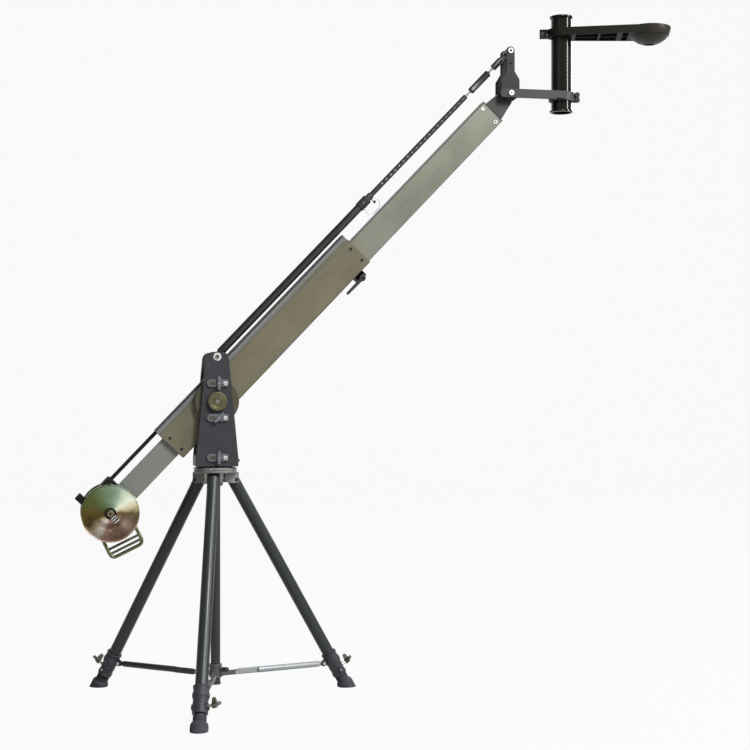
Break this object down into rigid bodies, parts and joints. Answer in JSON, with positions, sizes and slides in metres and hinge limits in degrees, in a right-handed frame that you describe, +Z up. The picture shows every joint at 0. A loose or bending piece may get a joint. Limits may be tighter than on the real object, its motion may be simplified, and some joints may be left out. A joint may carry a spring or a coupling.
{
  "type": "camera jib crane",
  "caption": "Tripod mounted camera jib: a telescoping parallelogram boom tilts in a panning yoke, with disc counterweights behind and a levelled bowl arm in front",
  "frame": {"origin": "on the floor under the pan axis, midway between the feet", "axes": "+Z up along the pan axis, +X along the boom toward the camera end, +Y to the left of someone who looks along +X"},
  "size_m": [2.2139, 0.9628, 2.5415],
  "materials": {
    "dark_casting": "satin dark grey coat on castings",
    "yoke_coat": "fine textured slate powder coat",
    "leg_coat": "satin gunmetal anodising",
    "bronze_anodised": "satin bronze anodising",
    "pale_anodised": "satin champagne grey anodising",
    "grey_anodised": "satin light grey anodising",
    "black_anodised": "semi gloss black anodising",
    "grey_paint": "satin mid grey coat",
    "black_plastic": "moulded plastic",
    "black_rubber": "moulded rubber",
    "steel": "bright zinc plate",
    "zinc_plate": "yellow passivated zinc on turned steel",
    "olive_zinc": "olive passivated zinc on steel rod"
  },
  "bodies": {
    "base": {"crown": "dark_casting", "centre_column": "leg_coat"},
    "hub": {"spreader_hub": "dark_casting"},
    "hub_lock": {"hub_knob": "black_plastic"},
    "leg_front": {"leg_tube_front": "leg_coat", "leg_clamp_front": "dark_casting"},
    "lower_front": {"lower_leg_front": "leg_coat", "foot_front": "black_rubber"},
    "leg_lock_front": {"leg_knob_front": "black_plastic"},
    "arm_front": {"spreader_arm_front": "steel"},
    "leg_right": {"leg_tube_right": "leg_coat", "leg_clamp_right": "dark_casting"},
    "lower_right": {"lower_leg_right": "leg_coat", "foot_right": "black_rubber"},
    "leg_lock_right": {"leg_knob_right": "black_plastic"},
    "arm_right": {"spreader_arm_right": "steel"},
    "leg_left": {"leg_tube_left": "leg_coat", "leg_clamp_left": "dark_casting"},
    "lower_left": {"lower_leg_left": "leg_coat", "foot_left": "black_rubber"},
    "leg_lock_left": {"leg_knob_left": "black_plastic"},
    "arm_left": {"spreader_arm_left": "steel"},
    "pan": {"pan_base": "dark_casting", "yoke_plate_right": "yoke_coat", "yoke_plate_left": "yoke_coat", "yoke_pin": "steel"},
    "pan_lock": {"pan_brake_knob": "black_plastic"},
    "latch_upper": {"latch_lever_upper": "dark_casting"},
    "latch_middle": {"latch_lever_middle": "dark_casting"},
    "latch_lower": {"latch_lever_lower": "dark_casting"},
    "tilt_lock": {"pivot_knob": "bronze_anodised"},
    "boom": {"boom_sleeve": "bronze_anodised", "top_rail": "grey_anodised", "bearing_disc_right": "bronze_anodised", "bearing_disc_left": "bronze_anodised"},
    "boom_lock": {"clamp_lever": "black_plastic"},
    "front": {"front_tube": "pale_anodised", "tip_bracket": "grey_paint"},
    "rear": {"rear_tube": "grey_anodised", "ballast_bracket": "black_anodised", "ballast_bar": "steel", "weight_disc_right": "zinc_plate", "weight_disc_left": "zinc_plate"},
    "handle": {"rear_handle": "olive_zinc"},
    "link": {"link_tube": "black_anodised", "link_collar": "black_plastic", "plunger_lanyard": "steel"},
    "plunger": {"index_plunger": "black_plastic"},
    "rod": {"pierced_rod": "black_anodised", "turnbuckle": "black_anodised", "rod_end": "black_anodised"},
    "head": {"head_plate_right": "grey_paint", "head_plate_left": "grey_paint", "head_pivot_bolt": "steel", "head_link_bolt": "steel", "lower_arm": "grey_paint", "riser_tube": "black_anodised"},
    "camera_arm": {"camera_arm": "black_anodised", "camera_bowl": "black_anodised"},
    "arm_lock": {"arm_clamp_knob": "black_plastic"}
  },
  "joints": [
    {"name": "pan_turn", "type": "hinge", "parent": "base", "child": "pan", "pos_m": [0, 0, 0.85], "axis": [0, 0, 1], "continuous": true},
    {"name": "leg_fold_front", "type": "hinge", "parent": "base", "child": "leg_front", "pos_m": [-0.01396, -0.0686, 0.8], "axis": [0.9799, -0.1994, 0], "range_deg": [0, 18]},
    {"name": "leg_length_front", "type": "slide", "parent": "leg_front", "child": "lower_front", "axis": [-0.1018, -0.5003, -0.8599], "range_m": [0, 0.3]},
    {"name": "leg_lock_turn_front", "type": "hinge", "parent": "leg_front", "child": "leg_lock_front", "pos_m": [-0.07853, -0.50382, 0.07677], "axis": [0.8622, -0.4755, 0.1746], "continuous": true},
    {"name": "arm_fold_front", "type": "hinge", "parent": "leg_front", "child": "arm_front", "pos_m": [-0.08848, -0.4349, 0.096], "axis": [0.9799, -0.1994, 0], "range_deg": [0, 51.51]},
    {"name": "leg_fold_right", "type": "hinge", "parent": "base", "child": "leg_right", "pos_m": [0.06638, 0.02221, 0.8], "axis": [-0.3173, 0.9483, 0], "range_deg": [0, 18]},
    {"name": "leg_length_right", "type": "slide", "parent": "leg_right", "child": "lower_right", "axis": [0.4842, 0.162, -0.8599], "range_m": [0, 0.3]},
    {"name": "leg_lock_turn_right", "type": "hinge", "parent": "leg_right", "child": "leg_lock_right", "pos_m": [0.49645, 0.16611, 0.08517], "axis": [0.8154, 0.2728, 0.5105], "continuous": true},
    {"name": "arm_fold_right", "type": "hinge", "parent": "leg_right", "child": "arm_right", "pos_m": [0.42087, 0.14082, 0.096], "axis": [-0.3173, 0.9483, 0], "range_deg": [0, 51.51]},
    {"name": "leg_fold_left", "type": "hinge", "parent": "base", "child": "leg_left", "pos_m": [-0.05243, 0.04638, 0.8], "axis": [-0.6626, -0.749, 0], "range_deg": [0, 18]},
    {"name": "leg_length_left", "type": "slide", "parent": "leg_left", "child": "lower_left", "axis": [-0.3824, 0.3383, -0.8599], "range_m": [0, 0.3]},
    {"name": "leg_lock_turn_left", "type": "hinge", "parent": "leg_left", "child": "leg_lock_left", "pos_m": [-0.39208, 0.34688, 0.08517], "axis": [-0.644, 0.5698, 0.5105], "continuous": true},
    {"name": "arm_fold_left", "type": "hinge", "parent": "leg_left", "child": "arm_left", "pos_m": [-0.33239, 0.29407, 0.096], "axis": [-0.6626, -0.749, 0], "range_deg": [0, 51.51]},
    {"name": "hub_slide", "type": "slide", "parent": "base", "child": "hub", "axis": [0, 0, 1], "range_m": [0, 0.26]},
    {"name": "hub_lock_turn", "type": "hinge", "parent": "hub", "child": "hub_lock", "pos_m": [0.01929, -0.0159, 0.114], "axis": [0.7716, -0.6361, 0], "continuous": true},
    {"name": "pan_lock_turn", "type": "hinge", "parent": "pan", "child": "pan_lock", "pos_m": [0.076, 0, 0.8695], "axis": [1, 0, 0], "continuous": true},
    {"name": "latch_turn_upper", "type": "hinge", "parent": "pan", "child": "latch_upper", "pos_m": [0.005, -0.073, 1.14899], "axis": [0, 1, 0], "range_deg": [0, 60]},
    {"name": "latch_turn_middle", "type": "hinge", "parent": "pan", "child": "latch_middle", "pos_m": [0.005, -0.073, 1.02494], "axis": [0, 1, 0], "range_deg": [-45, 15]},
    {"name": "latch_turn_lower", "type": "hinge", "parent": "pan", "child": "latch_lower", "pos_m": [0.005, -0.073, 0.88201], "axis": [0, 1, 0], "range_deg": [0, 60]},
    {"name": "tilt_lock_turn", "type": "hinge", "parent": "pan", "child": "tilt_lock", "pos_m": [0, -0.0683, 1.0845], "axis": [0, 1, 0], "continuous": true},
    {"name": "boom_tilt", "type": "hinge", "parent": "pan", "child": "boom", "pos_m": [0, 0, 1.0845], "axis": [0, -1, 0], "range_deg": [-80, 1]},
    {"name": "boom_lock_turn", "type": "hinge", "parent": "boom", "child": "boom_lock", "pos_m": [0.53577, -0.03, 1.53659], "axis": [0, 1, 0], "range_deg": [-75, 75]},
    {"name": "boom_extend", "type": "slide", "parent": "boom", "child": "front", "axis": [0.6909, 0, 0.723], "range_m": [-0.3, 0.15]},
    {"name": "rear_extend", "type": "slide", "parent": "boom", "child": "rear", "axis": [0.6909, 0, 0.723], "range_m": [-0.12, 0.15]},
    {"name": "handle_swing", "type": "hinge", "parent": "rear", "child": "handle", "pos_m": [-0.37929, -0.05, 0.68759], "axis": [0, 1, 0], "range_deg": [-60, 25]},
    {"name": "link_tilt", "type": "hinge", "parent": "pan", "child": "link", "pos_m": [0, 0, 1.2445], "axis": [0, -1, 0], "range_deg": [-80, 1]},
    {"name": "plunger_pull", "type": "slide", "parent": "link", "child": "plunger", "axis": [0.723, 0, -0.6909], "range_m": [0, 0.012], "stiffness_N_per_m": 400},
    {"name": "rod_extend", "type": "slide", "parent": "link", "child": "rod", "axis": [0.6909, 0, 0.723], "range_m": [-0.3, 0.15]},
    {"name": "head_level", "type": "hinge", "parent": "front", "child": "head", "pos_m": [1.09989, 0, 2.23546], "axis": [0, -1, 0], "range_deg": [-1, 80]},
    {"name": "camera_arm_swivel", "type": "hinge", "parent": "head", "child": "camera_arm", "pos_m": [1.31238, 0, 2.47646], "axis": [0, 0, 1], "continuous": true},
    {"name": "arm_lock_turn", "type": "hinge", "parent": "camera_arm", "child": "arm_lock", "pos_m": [1.2367, 0.0009, 2.46946], "axis": [0.2756, 0.9613, 0], "continuous": true}
  ],
  "couplings": [
    {"joint": "arm_fold_front", "follows": "leg_fold_front", "ratio": 2.8559},
    {"joint": "arm_fold_right", "follows": "leg_fold_front", "ratio": 2.8559},
    {"joint": "leg_fold_right", "follows": "leg_fold_front", "ratio": 1},
    {"joint": "arm_fold_left", "follows": "leg_fold_front", "ratio": 2.8559},
    {"joint": "leg_fold_left", "follows": "leg_fold_front", "ratio": 1},
    {"joint": "hub_slide", "follows": "leg_fold_front", "m_per_rad": 0.82602},
    {"joint": "link_tilt", "follows": "boom_tilt", "ratio": 1},
    {"joint": "rod_extend", "follows": "boom_extend", "ratio": 1},
    {"joint": "head_level", "follows": "boom_tilt", "ratio": -1}
  ]
}
